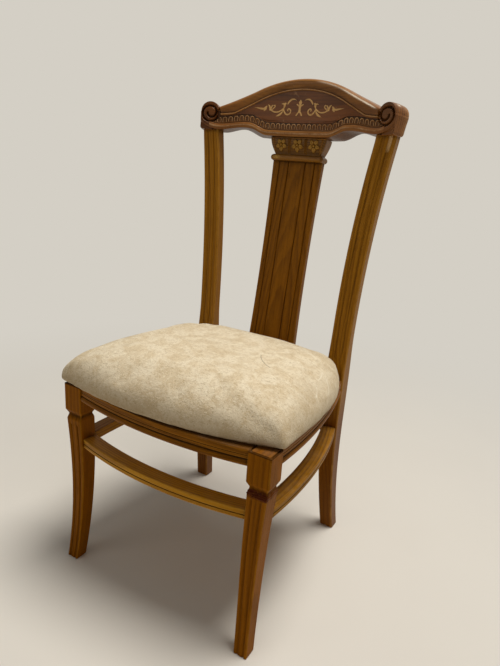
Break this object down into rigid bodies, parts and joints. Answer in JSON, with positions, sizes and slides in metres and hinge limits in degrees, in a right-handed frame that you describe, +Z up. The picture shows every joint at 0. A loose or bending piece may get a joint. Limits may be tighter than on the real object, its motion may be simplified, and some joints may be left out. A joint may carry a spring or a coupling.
{
  "type": "broken wooden chair",
  "caption": "Worn wooden dining chair with a carved, scrolled crest rail, fluted splat, bowed stretchers and a soiled, loose-fitting seat pad",
  "frame": {"origin": "floor, under the middle of the chair's box", "axes": "+X to the right seen from the front, +Y to the back, +Z up"},
  "size_m": [0.5058, 0.5436, 1.0521],
  "materials": {
    "frame_wood": "golden brown lacquer, semi-gloss, worn at the edges",
    "carved_wood": "dark red-brown stain under gloss lacquer",
    "splat_wood": "brown lacquer, semi-gloss",
    "inlay_wood": "pale veneer under lacquer",
    "bare_wood": "unfinished",
    "pad_fabric": "mottled cream velvet, soiled",
    "screw_steel": "zinc plated"
  },
  "bodies": {
    "root": {"front_leg_left": "frame_wood", "front_leg_right": "frame_wood", "back_leg_left": "frame_wood", "back_leg_right": "frame_wood", "front_seat_rail": "frame_wood", "side_seat_rail_left": "frame_wood", "side_seat_rail_right": "frame_wood", "rear_seat_rail": "frame_wood", "front_stretcher": "frame_wood", "side_stretcher_left": "frame_wood", "side_stretcher_right": "frame_wood", "rear_stretcher": "frame_wood", "crest_rail": "carved_wood", "crest_inlay": "inlay_wood", "splat_capital": "carved_wood", "splat": "splat_wood", "splat_shoe": "frame_wood", "corner_block_front_left": "bare_wood", "corner_block_front_right": "bare_wood", "corner_block_rear_left": "bare_wood", "corner_block_rear_right": "bare_wood", "corner_block_screws": "screw_steel", "crest_dowels": "bare_wood", "seat_board": "bare_wood", "seat_screws": "screw_steel", "seat_pad": "pad_fabric"}
  },
  "joints": []
}
